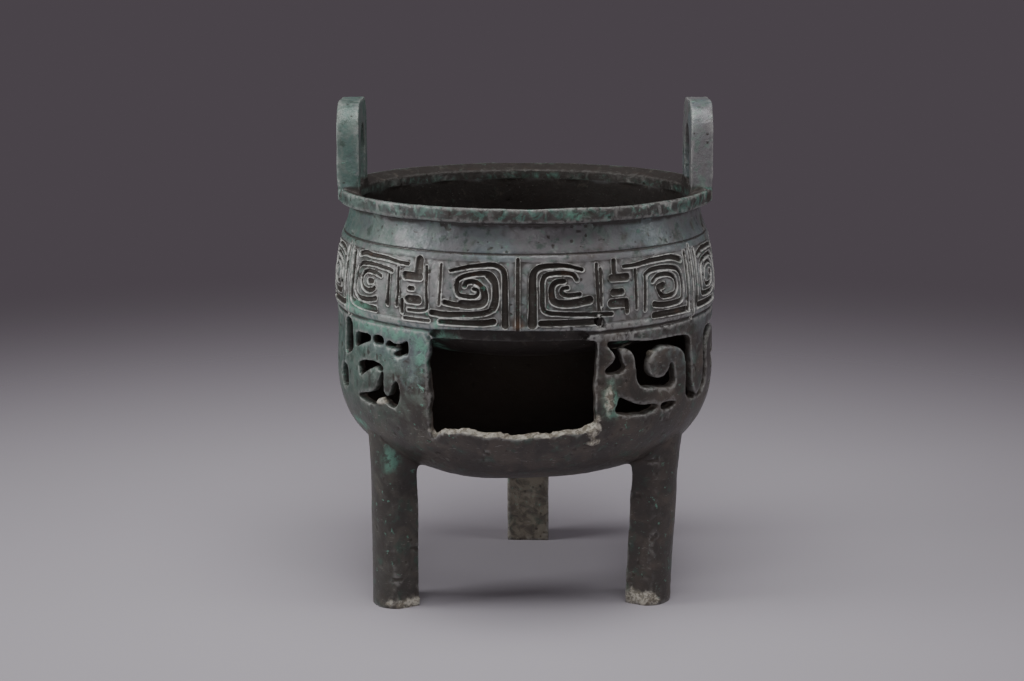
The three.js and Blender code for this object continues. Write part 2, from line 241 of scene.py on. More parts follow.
lintel_level = (FRIEZE_BOTTOM + WINDOW_TOP) / 2 - 0.5
lintel_line = smooth_line([
    (WINDOW_LEFT + 1.5, lintel_level - 1.6, 3.0), (WINDOW_LEFT + 5, lintel_level, 6.2),
    (WINDOW_RIGHT - 7, lintel_level, 6.2), (WINDOW_RIGHT - 3, lintel_level - 1.4, 3.0),
], 24)
lintel = wall_strip("lintel", lintel_line, -LINTEL_SETBACK, REACH_OUTSIDE)

# ---------------------------------------------------------------------------- pierced scrolls
# Bands of scrolls let air into the fire. The gaps between them were cast through the wall, and
# are closed outlines of (angle, height) here. Their lower ledges fall outwards. The two halves
# beside the window differ, and the fields round the back repeat the right one.
RIGHT_GAPS = [
    [(24.0, 138.4), (27, 138.3), (31, 138.0), (35, 137.3), (38, 136.6), (42, 136.4), (46, 136.2),
     (50, 136.0), (54, 135.6), (56.8, 134.6), (58.1, 132.3), (58.4, 128), (58.6, 120), (59, 113),
     (60.5, 107.8), (63, 104.2), (60.5, 103.6), (57.6, 105), (55.8, 107.6), (55.3, 112),
     (55.3, 118), (55.2, 124), (54.3, 127.6), (52.5, 130.2), (50, 131.7), (47, 132.7),
     (44, 133.2), (41.6, 132.3), (39.9, 130.4), (38.7, 128.2), (38.1, 126), (38.1, 123.2),
     (38.8, 121), (40.2, 119.3), (42.5, 118.3), (44.6, 118.9), (46, 120.3), (46.8, 122.3),
     (47.7, 124.1), (48.7, 124), (49.3, 121.5), (49.6, 118), (49.8, 115.6), (49, 113.7),
     (47.5, 112.9), (45, 113.4), (41, 114.4), (37.5, 115.2), (35.6, 116.5), (34.5, 118.6),
     (34, 121), (33.8, 125), (33.5, 129), (32.9, 131.4), (32.0, 133.3), (30.3, 134.5),
     (28.0, 134.9), (28.3, 133), (28.6, 131), (29.0, 129), (29.5, 127.3), (29.6, 125.2),
     (28.6, 123.8), (26, 123.5), (23.8, 124.1), (23.6, 125.6), (24.6, 126.9), (25.8, 128.2),
     (26.6, 129.8), (26.8, 131.5), (26.3, 133.3), (25.3, 135.2), (24.4, 136.8)],
    [(28, 112.3), (29.5, 111.2), (31, 110.1), (33, 108.5), (35.5, 107.3), (38, 106.8),
     (41.6, 106.2), (41.8, 104.2), (38, 102.7), (34, 103), (30.5, 103.5), (27.8, 104.8),
     (26.8, 107), (27.6, 109)],
    [(43.6, 105.5), (46, 106.1), (49, 105.8), (50.6, 105), (49, 103.2), (46, 102.6), (44.2, 103.5)],
]
LEFT_GAPS = [
    [(-60.3, 135), (-57, 136.1), (-52.1, 136.4), (-51.8, 135), (-52.1, 133.8), (-54.5, 132.5),
     (-57, 131.2), (-59, 129.7), (-60.5, 129)],
    [(-50, 136.6), (-46, 136.7), (-45.9, 133.8), (-47.5, 133.3), (-50, 133.5)],
    [(-44.8, 133.4), (-43.2, 135.9), (-42.2, 135.1), (-41, 134.6), (-39, 134.8), (-37.3, 136.2),
     (-36, 137.2), (-35.7, 135), (-35.9, 130.8), (-37.8, 130.4), (-39.2, 129.2), (-41.4, 129.3),
     (-41, 130.5), (-39.5, 131.6), (-39.2, 132.2), (-40.4, 132.7), (-42.4, 132.8)],
    [(-58.4, 121.5), (-56, 122.9), (-53, 123.8), (-49.5, 123.9), (-47, 123.3), (-45.9, 121.9),
     (-45.8, 117), (-45.9, 112), (-45.2, 109.7), (-44.1, 108.8), (-43.3, 109.6), (-42.6, 111.2),
     (-42, 113.6), (-41.2, 116), (-40.3, 117), (-39.5, 115.6), (-39.1, 113), (-39.3, 110),
     (-40, 107.2), (-41.2, 105), (-43, 105), (-44.6, 106.2), (-46, 107.5), (-47.2, 108),
     (-48.4, 107), (-49.4, 105), (-51, 103.8), (-54, 104), (-58.4, 104.8), (-58.6, 106.4),
     (-54.5, 107.9), (-51.6, 109.1), (-49.8, 110.9), (-48.4, 114), (-47.1, 118), (-46.6, 120.4),
     (-48, 121.6), (-50, 121.9), (-52, 120.9), (-54.2, 119), (-56, 117.3), (-57.5, 115.9),
     (-58, 118.5)],
    [(-67.4, 140.6), (-63.2, 140.6), (-62.6, 134), (-62.8, 127.4), (-65, 125.2), (-68, 123.6),
     (-69, 128), (-68.4, 134)],
    [(-71.8, 117.4), (-67, 117), (-66.4, 112), (-67, 108.4), (-69.6, 106.6), (-72.6, 107),
     (-72.8, 112)],
]
BORDER_BAR = 63.2
BACK_FIELD = BORDER_BAR + 54
FIELDS = [
    (RIGHT_GAPS, lambda angle: angle),
    (LEFT_GAPS, lambda angle: angle),
    (RIGHT_GAPS, lambda angle: 2 * BORDER_BAR - angle),
    (RIGHT_GAPS, lambda angle: BACK_FIELD + angle),
    (RIGHT_GAPS, lambda angle: -BACK_FIELD - angle),
]
LEDGE_FALL = 1.8
LEDGE_RISE_INSIDE = 0.8
LEDGE_DROP_OUTSIDE = -0.5


def smooth_ring(points, steps):
    """A smooth closed run through points, with the same number of steps to each."""
    ring = np.array(points, dtype=float)
    before, after, beyond = (np.roll(ring, shift, axis=0) for shift in (1, -1, -2))
    t = np.tile(np.arange(steps) / steps, len(ring))[:, None]
    a, b, c, d = (np.repeat(knots, steps, axis=0) for knots in (before, ring, after, beyond))
    return 0.5 * (2 * b + (c - a) * t + (2 * a - 5 * b + 4 * c - d) * t**2
                  + (3 * b - a - 3 * c + d) * t**3)


def wall_gap(name, outline, fall):
    """A cutter through the wall inside an outline. Where the outline is a ledge, the inner end
    is higher than the outer by the fall."""
    ring = smooth_ring(outline, 3)
    run = np.roll(ring, -1, axis=0) - np.roll(ring, 1, axis=0)
    run[:, 0] *= math.radians(1) * BELLY_RADIUS
    way_round = np.sign(np.sum(ring[:, 0] * np.roll(ring[:, 1], -1)
                               - np.roll(ring[:, 0], -1) * ring[:, 1]))
    ledge = np.clip(way_round * run[:, 0] / np.hypot(run[:, 0], run[:, 1]), 0, 1)
    bm = bmesh.new()
    mark = bm.verts.layers.float.new("ledge")
    corners = [bm.verts.new((angle, height, 0)) for angle, height in ring]
    for corner, share in zip(corners, ledge):
        corner[mark] = share
    face = bm.faces.new(corners)
    skin = bmesh.ops.extrude_face_region(bm, geom=[face])["geom"]
    inner = {item for item in skin if isinstance(item, bmesh.types.BMVert)}
    bmesh.ops.triangulate(bm, faces=[face for face in bm.faces if len(face.verts) > 4])
    for vert in bm.verts:
        angle, height, _ = vert.co
        reach = REACH_INSIDE if vert in inner else REACH_OUTSIDE
        radius = float(wall_radius(np.array(height))) + reach
        share = LEDGE_RISE_INSIDE if vert in inner else LEDGE_DROP_OUTSIDE
        shift = share * fall * vert[mark]
        vert.co = on_wall(angle, radius, height + shift)
    return solid(bm, name)


gaps = []
for field, (outlines, turned) in enumerate(FIELDS):
    for i, outline in enumerate(outlines):
        placed = [(turned(angle), height) for angle, height in outline]
        gaps.append(wall_gap(f"gap_{field}_{i}", placed, LEDGE_FALL))

# ---------------------------------------------------------------------------- legs
# Three columns, cast on with the belly: round outside, flat towards the axis, a little wider
# where they run into the belly. The right one leans in.
LEG_WIDTH = 22.5
LEG_THICKNESS = 18.5
LEG_TOP = 96.0
LEG_FLARE = 0.1
LEG_FLARE_FROM = 52
LEG_FLARE_OVER = 30
LEG_ROUND_STEPS = 12
LEG_ROWS = 16
LEGS = [
    {"name": "left_leg", "foot": (-58.7, 75.6), "top": (-58.7, 75.6)},
    {"name": "right_leg", "foot": (61.0, 70.6), "top": (60.0, 75.5)},
    {"name": "back_leg", "foot": (178.5, 70.0), "top": (178.5, 70.5)},
]


def leg_column(name, foot, top):
    """A column from its foot to its top, each an angle and a distance from the axis."""
    bm = bmesh.new()
    half = LEG_WIDTH / 2
    flat = -LEG_THICKNESS / 2
    outline = [(-half, flat), (half, flat)]
    for i in range(LEG_ROUND_STEPS + 1):
        turn = math.pi * i / LEG_ROUND_STEPS
        outline.append((half * math.cos(turn), LEG_THICKNESS / 2 * math.sin(turn)))
    face = bm.faces.new([bm.verts.new((x, y, 0)) for x, y in outline])
    for row in range(LEG_ROWS):
        lifted = bmesh.ops.extrude_face_region(bm, geom=[face])["geom"]
        if row:
            bmesh.ops.delete(bm, geom=[face], context="FACES_ONLY")
        verts = [item for item in lifted if isinstance(item, bmesh.types.BMVert)]
        bmesh.ops.translate(bm, verts=verts, vec=(0, 0, LEG_TOP / LEG_ROWS))
        face = next(item for item in lifted if isinstance(item, bmesh.types.BMFace))
    for vert in bm.verts:
        share = vert.co.z / LEG_TOP
        swell = 1 + LEG_FLARE * max(0.0, (vert.co.z - LEG_FLARE_FROM) / LEG_FLARE_OVER) ** 2
        turn = math.radians(foot[0] + (top[0] - foot[0]) * share)
        distance = foot[1] + (top[1] - foot[1]) * share + vert.co.y * swell
        aside = vert.co.x * swell
        vert.co.x = distance * math.sin(turn) - aside * math.cos(turn)
        vert.co.y = -distance * math.cos(turn) - aside * math.sin(turn)
    return solid(bm, name)


legs = [leg_column(**leg) for leg in LEGS]

# ---------------------------------------------------------------------------- handles
# Two upright loops stand on the lip, flush with its edge, thick and square in section.
HANDLE_SPAN = 52.0
HANDLE_THICKNESS = 11.0
HANDLE_OUTER_FACE = 89.3
HANDLE_TOP = 241.6
HANDLE_CORNER = 15.0
HANDLE_LIMB = 12.0
HANDLE_ROOT = 195.0
LOOP_SINK = 1.5
LOOP_REACH = 3


def arch_line(half, top, corner, bottom):
    """Across and up round an arch, from its left foot over to its right one."""
    line = [(-half, bottom)]
    for side, start in ((-1, 180), (1, 90)):
        for i in range(9):
            turn = math.radians(start - i * 90 / 8)
            line.append((side * (half - corner) + corner * math.cos(turn),
                         top - corner + corner * math.sin(turn)))
    return line + [(half, bottom)]


def arch_slab(name, line, start, end):
    """A slab with an arched outline, between two distances across."""
    bm = bmesh.new()
    face = bm.faces.new([bm.verts.new((start, y, z)) for y, z in line])
    lifted = bmesh.ops.extrude_face_region(bm, geom=[face])["geom"]
    verts = [item for item in lifted if isinstance(item, bmesh.types.BMVert)]
    bmesh.ops.translate(bm, verts=verts, vec=(end - start, 0, 0))
    return solid(bm, name)


handles = []
loops = []
for side, label in ((-1, "left"), (1, "right")):
    outer_face = side * HANDLE_OUTER_FACE
    inner_face = side * (HANDLE_OUTER_FACE - HANDLE_THICKNESS)
    reach = HANDLE_SPAN / 2 - HANDLE_LIMB
    arch = arch_line(HANDLE_SPAN / 2, HANDLE_TOP, HANDLE_CORNER, HANDLE_ROOT)
    loop = arch_line(reach, HANDLE_TOP - HANDLE_LIMB, reach, RIM_TOP - LOOP_SINK)
    handles.append(arch_slab(f"{label}_handle", arch, outer_face, inner_face))
    loops.append(arch_slab(f"{label}_loop", loop, outer_face + side * LOOP_REACH,
                           inner_face - side * LOOP_REACH))

# ---------------------------------------------------------------------------- fusing the casting
# All of it comes out of one mould, so the pieces are joined, the hollows taken out, and the
# whole worked as one skin.
SKIN_GRAIN = 0.7


def boolean(target, tool, operation):
    """Joins a tool to a target or cuts it out, once the target is baked."""
    step = target.modifiers.new(tool.name, "BOOLEAN")
    step.object = tool
    step.operation = operation
    step.solver = "MANIFOLD"


def baked(piece):
    """Applies what the modifiers make of a piece, and drops them."""
    graph = bpy.context.evaluated_depsgraph_get()
    mesh = bpy.data.meshes.new_from_object(piece.evaluated_get(graph))
    piece.modifiers.clear()
    old = piece.data
    piece.data = mesh
    bpy.data.meshes.remove(old)


for handle, loop in zip(handles, loops):
    boolean(handle, loop, "DIFFERENCE")
    baked(handle)
for limb in legs + handles:
    boolean(casting, limb, "UNION")
for hollow in [bowl_hollow, fire_chamber, window, lintel] + gaps:
    boolean(casting, hollow, "DIFFERENCE")
baked(casting)
for tool in legs + handles + loops + [bowl_hollow, fire_chamber, window, lintel] + gaps:
    bpy.data.meshes.remove(tool.data)
grain = casting.modifiers.new("skin", "REMESH")
grain.mode = "VOXEL"
grain.voxel_size = SKIN_GRAIN
baked(casting)

# ---------------------------------------------------------------------------- settled shape
# Legs and handles run into the body in soft fillets. The belly hangs a little lower left of the
# middle, and the lip isn't quite round: shallow bays run round it.
FINE_BELOW = 2.5
FINE_ABOVE = 1.5
SOFTENING_ROUNDS = 3
ROOT_ROUNDS = 24
LEG_ROOT_LEVELS = (56, 64, 76, 84)
HANDLE_ROOT_LEVELS = (RIM_TOP - 1, RIM_TOP, RIM_TOP + 3, RIM_TOP + 6)
BELLY_SLUMP = 1.8
SLUMP_CENTRE = -30
SLUMP_WIDTH = 24
SLUMP_LEVELS = (50, 60, 64, 80)
LIP_BAY = 24.0
LIP_BAY_DEPTH = 0.7


def read_points(mesh):
    flat = np.empty(len(mesh.vertices) * 3, dtype=np.float32)
    mesh.vertices.foreach_get("co", flat)
    return flat.reshape(-1, 3).astype(float)


def write_points(mesh, points):
    mesh.vertices.foreach_set("co", points.astype(np.float32).ravel())
    mesh.update()


def read_edges(mesh):
    flat = np.empty(len(mesh.edges) * 2, dtype=np.int32)
    mesh.edges.foreach_get("vertices", flat)
    return flat.reshape(-1, 2)


def relaxed(points, edges, weight, rounds):
    """Draws points towards their neighbours, by a weight for each point."""
    count = len(points)
    if np.ndim(weight):
        edges = edges[(weight[edges] > 0).any(axis=1)]
    links = np.maximum(np.bincount(edges.ravel(), minlength=count), 1)[:, None]
    weight = weight[:, None] if np.ndim(weight) else weight
    for _ in range(rounds):
        total = np.empty_like(points)
        for axis in range(points.shape[1]):
            total[:, axis] = np.bincount(edges[:, 0], points[edges[:, 1], axis], count)
            total[:, axis] += np.bincount(edges[:, 1], points[edges[:, 0], axis], count)
        points = points + weight * (total / links - points)
    return points


def ramp(value, low, high):
    """0 below low, 1 above high, with soft ends."""
    share = np.clip((value - low) / (high - low), 0, 1)
    return share * share * (3 - 2 * share)


def band(value, low, full, full_end, high):
    """1 between two inner levels, falling softly to 0 at two outer ones."""
    return ramp(value, low, full) * ramp(-value, -high, -full_end)


skin = casting.data
bm = bmesh.new()
bm.from_mesh(skin)
fine = [edge for edge in bm.edges if all(
    FRIEZE_BOTTOM - FINE_BELOW < vert.co.z < FRIEZE_TOP + FINE_ABOVE
    and vert.co.x**2 + vert.co.y**2 > (NECK_RADIUS + 2)**2 for vert in edge.verts)]
bmesh.ops.subdivide_edges(bm, edges=fine, cuts=1, use_grid_fill=True)
bm.to_mesh(skin)
bm.free()

edges = read_edges(skin)
points = relaxed(read_points(skin), edges, 0.5, SOFTENING_ROUNDS)
near_root = np.maximum(band(points[:, 2], *LEG_ROOT_LEVELS),
                       band(points[:, 2], *HANDLE_ROOT_LEVELS))
points = relaxed(points, edges, 0.5 * near_root, ROOT_ROUNDS)
slump = np.exp(-((points[:, 0] - SLUMP_CENTRE) / SLUMP_WIDTH) ** 2)
points[:, 2] -= BELLY_SLUMP * slump * band(points[:, 2], *SLUMP_LEVELS)
spread = np.hypot(points[:, 0], points[:, 1])
bay = (np.degrees(np.arctan2(points[:, 1], points[:, 0])) % LIP_BAY) / LIP_BAY - 0.5
lip_bottom = RIM_TOP - LIP_HEIGHT
on_lip = band(points[:, 2], lip_bottom - 1, lip_bottom, RIM_TOP, RIM_TOP + 1.5)
points[:, :2] *= (1 - on_lip * LIP_BAY_DEPTH * (2 * bay) ** 2 / spread)[:, None]

# ---------------------------------------------------------------------------- frieze relief
# Six panels of squared scrolls, cast in the mould: sunk lines with thin raised threads beside
# them, in a plain frame. Neighbours mirror each other across narrow seams, though each was
# drawn by hand. A line is (angle, height) points from its panel's seam, its width in mm at
# each end, and its depth.
RIGHT_PANEL = [
    ([(4.1, 148.4), (4.2, 155), (4.2, 167), (4.6, 171.5), (6.5, 173.8), (10, 174.4), (14, 174.2),
      (18.5, 172.3)], (3.2, 0.9), 1.6),
    ([(27, 151.7), (20, 152.2), (12, 153), (8.2, 153.8), (7, 156), (6.9, 162), (7, 168),
      (8.4, 170.6), (12, 171.2), (15.6, 170.5), (16.8, 168)], (1.2, 1.3), 1.2),
    ([(20.3, 158.8), (16, 157.6), (12, 157.6), (10, 159), (9.5, 162), (9.6, 165), (10.8, 167.2),
      (13, 167.6)], (2.9, 1.4), 1.4),
    ([(17.5, 161.5), (14, 161.2), (12.4, 162.4), (12.6, 164.2), (14, 164.6)], (1.3, 1.1), 1.1),
    ([(6.5, 148.9), (23, 148.9)], (1.9, 2.1), 1.4),
    ([(22.9, 174.3), (22.9, 164), (23.1, 153.6)], (0.8, 0.8), 0.8),
    ([(24, 172.3), (23.9, 164), (23.8, 156)], (0.6, 0.6), 0.5),
    ([(28.5, 175.2), (28.3, 171), (28.6, 169)], (1.6, 1.4), 0.8),
    ([(27.5, 167.8), (30, 167.8), (32.3, 167.8)], (2.6, 2.8), 0.8),
    ([(27.7, 161.4), (30.4, 161.4)], (2.2, 2.2), 1.0),
    ([(27, 156.4), (31, 156.4)], (3.2, 3.4), 0.7),
    ([(31.8, 157.4), (32, 152)], (1.3, 1.2), 1.0),
    ([(31.6, 172.4), (36, 172.6), (41, 173.6), (47, 173.9), (51, 173.6), (54.5, 172)],
     (0.8, 2.1), 1.2),
    ([(35.4, 170.4), (35.3, 162), (35.2, 153.2)], (0.8, 0.8), 0.9),
    ([(38.9, 168), (38.5, 160), (38.2, 151.8)], (1.0, 1.0), 1.0),
    ([(57.1, 174.6), (57.2, 162), (57.2, 148)], (1.7, 1.5), 1.4),
    ([(41.5, 148.7), (56, 148.6)], (1.9, 2.1), 1.4),
    ([(38.8, 167.6), (41, 169.4), (45, 169.9), (49.5, 169.3), (52.6, 167.8), (54, 164),
      (54.1, 157), (53.3, 153.6), (50, 152.8), (45, 152.9), (41.6, 153.9)], (1.3, 1.8), 1.3),
    ([(41.5, 164.4), (44, 166.6), (48, 166.5), (50.6, 164.6), (51.2, 160.5), (50.2, 157.4),
      (47.4, 156.6), (44.8, 157.2), (43.6, 159.8)], (1.3, 1.3), 1.2),
    ([(43.6, 161.2), (45.6, 161.8)], (2.2, 2.4), 0.8),
]
LEFT_PANEL = [
    ([(3.45, 147.8), (3.5, 155), (3.6, 163), (3.7, 169), (4.4, 172.8), (6.8, 174.7), (10.3, 174.4),
      (14.2, 173.6), (17.6, 172.3), (19.7, 171.5)], (2.2, 0.7), 1.5),
    ([(25.2, 152.1), (20.3, 151.7), (16.2, 152.2), (12.9, 152.5), (9.5, 153.3), (7.3, 154.7),
      (6.2, 157), (6, 162), (6.2, 166.7), (7.1, 169.6), (8.6, 171), (10.6, 171), (12.9, 170.4),
      (14.9, 169.6), (16.5, 168.6), (17.4, 167.4), (17.6, 165.6), (17.5, 162.5), (16.6, 160.8),
      (14, 160.4), (12, 160.6), (11.2, 162), (11.5, 163.5), (12.5, 163.9)], (1.9, 0.9), 1.3),
    ([(8.4, 170.2), (6.5, 166.5), (6.2, 160), (7, 155.5)], (2, 2.6), 1.3),
    ([(15.2, 165.2), (14.7, 166.7), (12.9, 167.2), (11.1, 166.3), (9.7, 163.8), (9.3, 160.6),
      (10, 157.7), (11.8, 156.9), (14.4, 156.8), (17.6, 156.5), (19.8, 156.9), (21.2, 157.3)],
     (1.4, 1.6), 1.4),
    ([(9.8, 164), (9.3, 160.6), (10, 157.8), (13, 156.9), (16, 156.9)], (2.6, 3), 1.3),
    ([(22.4, 148.2), (17, 148.4), (10, 148.7), (6.8, 149.5)], (1.6, 2.2), 1.5),
    ([(22.7, 174), (22.6, 164), (22.8, 156)], (0.6, 0.6), 0.4),
    ([(27.4, 172.4), (27.2, 168), (27.1, 163), (26.8, 158), (26.6, 154.5), (27.2, 152.9),
      (29.5, 152.2), (33, 152.2)], (0.8, 0.7), 0.9),
    ([(26, 148.2), (34.5, 148.2)], (0.7, 0.7), 0.7),
    ([(30, 175), (30, 169)], (3.6, 3.8), 0.7),
    ([(29.5, 167.6), (34.6, 167.6)], (3, 3), 0.9),
    ([(31.5, 162), (32.8, 162)], (1.4, 1.4), 0.9),
    ([(29.6, 157.1), (33, 157.1)], (3.2, 3.2), 0.9),
    ([(35.2, 156), (35.2, 151)], (1.4, 1.4), 1.0),
    ([(37.4, 170.6), (37.2, 165), (36.9, 160), (37.3, 153.5)], (0.8, 0.8), 1.0),
    ([(40.8, 166.7), (40.8, 160), (40.8, 153.5)], (0.8, 1.5), 1.1),
    ([(56.1, 173.5), (53.2, 174.5), (49.4, 174.1), (43.8, 174.1), (40.4, 173.6), (37, 173),
      (33.9, 172.8)], (1.7, 0.7), 1.1),
    ([(39.7, 168.7), (41.5, 169.3), (44.2, 169.7), (47.8, 170.1), (51.4, 170), (54.1, 169.5),
      (55.6, 168.1), (56.2, 165.6), (56.5, 162), (56.8, 157.7), (56.2, 155.2), (54.3, 153.6),
      (51.4, 153.4), (48.3, 153.9), (46, 154.9)], (0.9, 1.5), 1.3),
    ([(59.6, 172.6), (59.2, 166), (59.2, 160), (59.4, 154), (58.8, 151.4), (56, 150.2), (52, 149.8),
      (46, 149.8)], (3.4, 2), 1.5),
    ([(44.2, 165.5), (46.5, 166.3), (48.7, 166.7), (51, 166.6), (52.5, 165.4), (53.3, 163.1),
      (53.1, 160.3), (52.1, 158.6), (50.1, 157.8), (48.3, 158.2), (46.9, 159.5)], (0.9, 1.5), 1.2),
    ([(48, 162.4), (49.6, 162.2)], (1.6, 2), 0.7),
]
PANELS = [
    {"seam": -2.0, "width": 60.0, "lines": RIGHT_PANEL, "turned": False},
    {"seam": 58.0, "width": 60.0, "lines": RIGHT_PANEL, "turned": True},
    {"seam": 118.0, "width": 60.0, "lines": RIGHT_PANEL, "turned": False},
    {"seam": 178.0, "width": 60.0, "lines": RIGHT_PANEL, "turned": True},
    {"seam": 238.0, "width": 58.0, "lines": RIGHT_PANEL, "turned": False},
    {"seam": 296.0, "width": 62.0, "lines": LEFT_PANEL, "turned": True},
]
SEAM_WIDTH = 0.9
SEAM_DEPTH = 0.7
GROOVE_SLOPE = 0.42
THREAD_RISE = 0.42
THREAD_PLACE = 0.62
THREAD_WIDTH = 0.38
FRAME_LINE_DEPTH = 0.6
FRAME_LINE_WIDTH = 0.45
FIELD_SINK = 0.35
FIELD_TOP = (175.7, 176.5)
BORDER_RIDGE_TOP = 147.3
UNDERCUT_DEPTH = 0.9
UNDERCUT_DROP = 1.4
UNDERCUT_WIDTH = 0.7
LINE_REACH = 3.5
OUTER_SKIN = (1.9, 0.9)


def line_gap(across, up, line, widths):
    """How far points lie outside the edge of a line that changes width evenly."""
    nearest = np.full(across.shape, 1e3)
    count = len(line) - 1
    for i in range(count):
        start = line[i]
        run = line[i + 1] - start
        share = ((across - start[0]) * run[0] + (up - start[1]) * run[1]) / (run @ run)
        share = np.clip(share, 0, 1)
        width = widths[0] + (widths[1] - widths[0]) * (i + share) / count
        apart = np.hypot(across - start[0] - share * run[0], up - start[1] - share * run[1])
        nearest = np.minimum(nearest, apart - width / 2)
    return nearest


def frieze_relief(angle, height):
    """Depth of the sunk lines in mm, and how far each point lies outside the nearest one."""
    arc = math.radians(1) * BELLY_RADIUS
    depth = np.zeros(angle.shape)
    nearest = np.full(angle.shape, 9.0)
    for panel in PANELS:
        turn = (angle - panel["seam"]) % 360
        mine = np.flatnonzero(turn < panel["width"])
        across = turn[mine]
        if panel["turned"]:
            across = panel["width"] - across
        across = across * arc * (1 if panel["lines"] is LEFT_PANEL else 60 / panel["width"])
        up = height[mine]
        lines = list(panel["lines"])
        for edge in (0, panel["width"]):
            lines.append(([(edge, FRIEZE_BOTTOM - 1), (edge, FRIEZE_TOP - 2)],
                          (SEAM_WIDTH, SEAM_WIDTH), SEAM_DEPTH))
        for points, widths, deep in lines:
            line = smooth_line(points, 4 * (len(points) - 1)) * (arc, 1)
            low, high = line.min(axis=0) - LINE_REACH, line.max(axis=0) + LINE_REACH
            near = np.flatnonzero((across > low[0]) & (across < high[0])
                                  & (up > low[1]) & (up < high[1]))
            gap = line_gap(across[near], up[near], line, widths)
            spot = mine[near]
            sunk = deep * ramp(-gap, -GROOVE_SLOPE, GROOVE_SLOPE)
            depth[spot] = np.maximum(depth[spot], sunk)
            nearest[spot] = np.minimum(nearest[spot], gap)
    thread = THREAD_RISE * np.exp(-((nearest - THREAD_PLACE) / THREAD_WIDTH) ** 2)
    return depth - thread, nearest


spread = np.hypot(points[:, 0], points[:, 1])
angle = np.degrees(np.arctan2(points[:, 0], -points[:, 1]))
height = points[:, 2]
outward = points[:, :2] / spread[:, None]
wall_face = wall_radius(height)
outer_face = ramp(spread, wall_face - OUTER_SKIN[0], wall_face - OUTER_SKIN[1])
on_frieze = np.flatnonzero((outer_face > 0) & (height > FRIEZE_BOTTOM - 3)
                           & (height < FRIEZE_TOP + 2))
level = height[on_frieze]
relief, groove_gap = frieze_relief(angle[on_frieze], level)
relief += FRAME_LINE_DEPTH * np.exp(-((level - FRIEZE_TOP) / FRAME_LINE_WIDTH) ** 2)
relief += FIELD_SINK * band(level, BORDER_RIDGE_TOP, BORDER_RIDGE_TOP + 0.8, *FIELD_TOP)
relief += UNDERCUT_DEPTH * np.exp(
    -((level - FRIEZE_BOTTOM + UNDERCUT_DROP) / UNDERCUT_WIDTH) ** 2)
depth = np.zeros(len(points))
depth[on_frieze] = relief * outer_face[on_frieze]
points[:, :2] -= outward * depth[:, None]
sunk_line = np.zeros(len(points))
sunk_line[on_frieze] = ramp(-groove_gap, -0.35, 0.45) * outer_face[on_frieze]
thread_line = np.zeros(len(points))
thread_line[on_frieze] = outer_face[on_frieze] * np.exp(-((groove_gap - 0.5) / 0.45) ** 2)

# ---------------------------------------------------------------------------- wear and corrosion
# Long burial left an uneven skin with fine pits, lumps of crust beside the window and on the
# feet, a rough sill, and a chip out of the frieze's lower border. A patch is its angle and
# height, and its reach in degrees and in mm. A crust lump ends with how far it stands up.
SKIN_SWELL = 0.3
SKIN_LOSS = 0.28
SKIN_GRAIN_DEPTH = 0.09
PIT_DEPTH = 0.24
CHIP = (21.6, 148.0, 1.3, 4.2)
CHIP_DEPTH = 2.6
RUST_SPOT = (-2.0, 147.0, 1.3, 3.0)
GREEN_PATCHES = [
    (-25.4, 145.0, 1.2, 5.0), (25.3, 110.5, 2.8, 8.5), (-44, 140.5, 20, 3.2), (-31, 132, 2.5, 9),
    (-60, 148, 9, 4), (-52, 74, 2.2, 7), (-64, 90, 5, 3), (35, 135.5, 3, 1.5), (14, 197, 4, 2.5),
]
CRUST_LUMPS = [
    (20.3, 98.0, 2.2, 6.0, 1.1), (21.2, 92.0, 1.8, 2.4, 1.0), (-27.5, 95.5, 1.6, 3.0, 0.6),
    (24.6, 111.0, 1.6, 6.5, 0.5), (-47.0, 106.0, 2.0, 2.0, 0.8), (38.5, 131.2, 2.0, 2.4, 0.7),
    (-50.0, 2.2, 3.2, 2.8, 0.4), (53.0, 3.4, 3.2, 4.4, 0.5), (177.0, 24.0, 5.0, 8.0, 0.2),
]
SILL_CRUST_SPAN = (-27.6, -26.4, 18.6, 20)
SILL_CRUST_LEVELS = (94.5, 95.4, 100.2, 101.2)
SILL_CRUST_SHARE = 0.8
SILL_ROUGHNESS = 0.5


def rough(points, size, seed):
    """Smooth noise from -1 to 1 with lumps of one size, the same on every run."""
    table = np.random.default_rng(seed).uniform(-1, 1, 4096)
    cell = points / size
    base = np.floor(cell).astype(np.int64)
    part = cell - base
    part = part * part * (3 - 2 * part)
    total = np.zeros(len(points))
    for corner in np.ndindex(2, 2, 2):
        key = base + corner
        spot = (key[:, 0] * 73856093 ^ key[:, 1] * 19349663 ^ key[:, 2] * 83492791) % 4096
        total += table[spot] * np.prod(np.where(corner, part, 1 - part), axis=1)
    return total


def outward_normals(mesh):
    flat = np.empty(len(mesh.vertices) * 3, dtype=np.float32)
    mesh.vertex_normals.foreach_get("vector", flat)
    return flat.reshape(-1, 3).astype(float)


def patch(turn, level, reach_turn, reach_level):
    """1 at the middle of a patch of the outer face, falling softly to 0 round it."""
    apart = np.hypot((angle - turn) / reach_turn, (height - level) / reach_level)
    return ramp(-apart - ragged, -1.15, -0.55) * ramp(spread, 60, 66)


